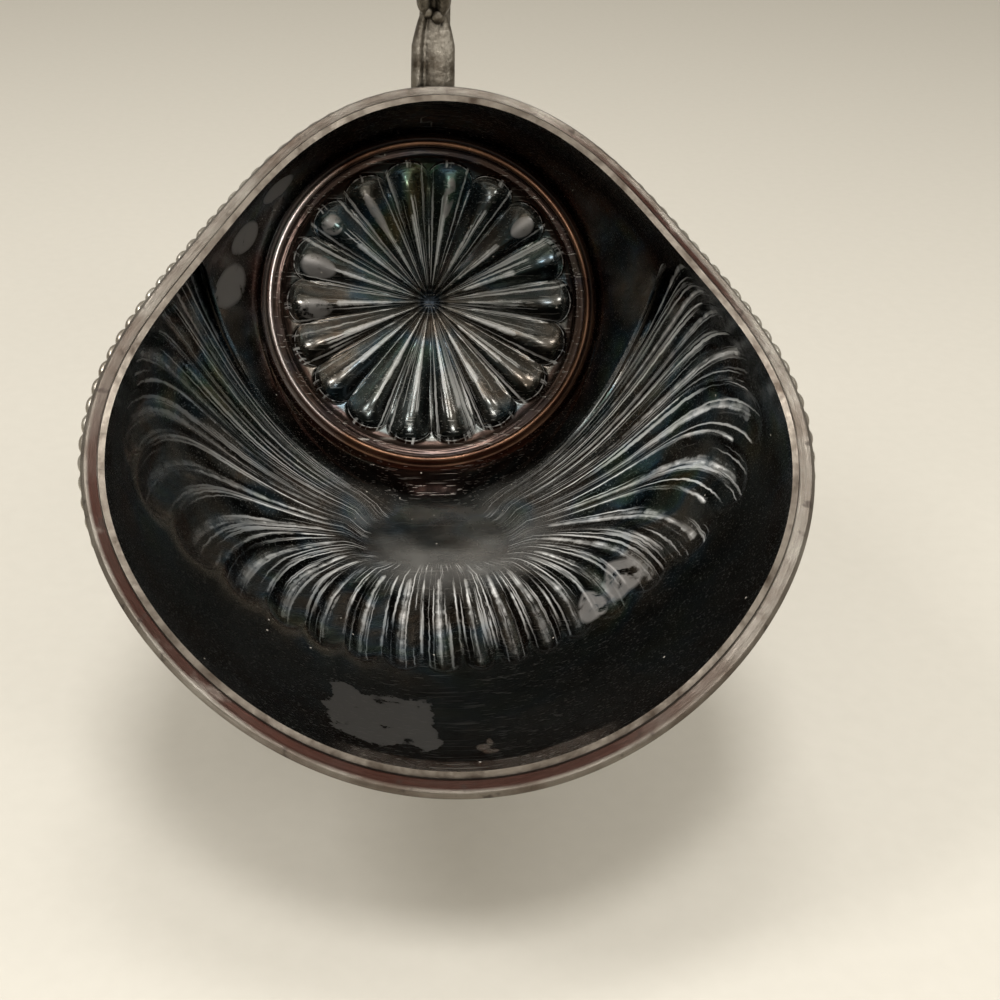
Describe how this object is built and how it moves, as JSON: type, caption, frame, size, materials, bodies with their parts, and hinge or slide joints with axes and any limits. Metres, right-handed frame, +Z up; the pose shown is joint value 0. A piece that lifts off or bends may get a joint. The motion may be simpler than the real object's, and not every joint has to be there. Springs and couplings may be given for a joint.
{
  "type": "sugar scuttle",
  "caption": "Small silver-plated table scuttle for sugar: half-fluted open bowl with a petalled back plate, a bevelled lobed rim, a fixed cast scroll handle and a spun round foot.",
  "frame": {"origin": "middle of the bounding box in X and Y, on the table under the foot", "axes": "+X to the right seen from the mouth's side, the mouth faces -Y and up, +Z up"},
  "size_m": [0.1038, 0.1416, 0.1377],
  "materials": {
    "tarnished_plate": "silver plate on nickel silver, tarnished near black, glossy, with brown and blue-green tints",
    "worn_plate": "silver plate, polished and worn, with brown and copper-red wear at the edges",
    "cast_plate": "cast, silver-plated, satin, with dark tarnish in the hollows"
  },
  "bodies": {
    "root": {"body": "tarnished_plate", "back_plate": "tarnished_plate", "back_ring": "worn_plate", "mouth_mount": "worn_plate", "gadroon_border_left": "worn_plate", "gadroon_border_right": "worn_plate", "handle_front_leaf": "cast_plate", "handle_front_bead": "cast_plate", "handle_loop": "cast_plate", "handle_rear_bead": "cast_plate", "handle_rear_leaf": "cast_plate", "foot_collar": "worn_plate", "foot_pedestal": "worn_plate", "foot_border": "worn_plate", "foot_base_wire": "worn_plate"}
  },
  "joints": []
}
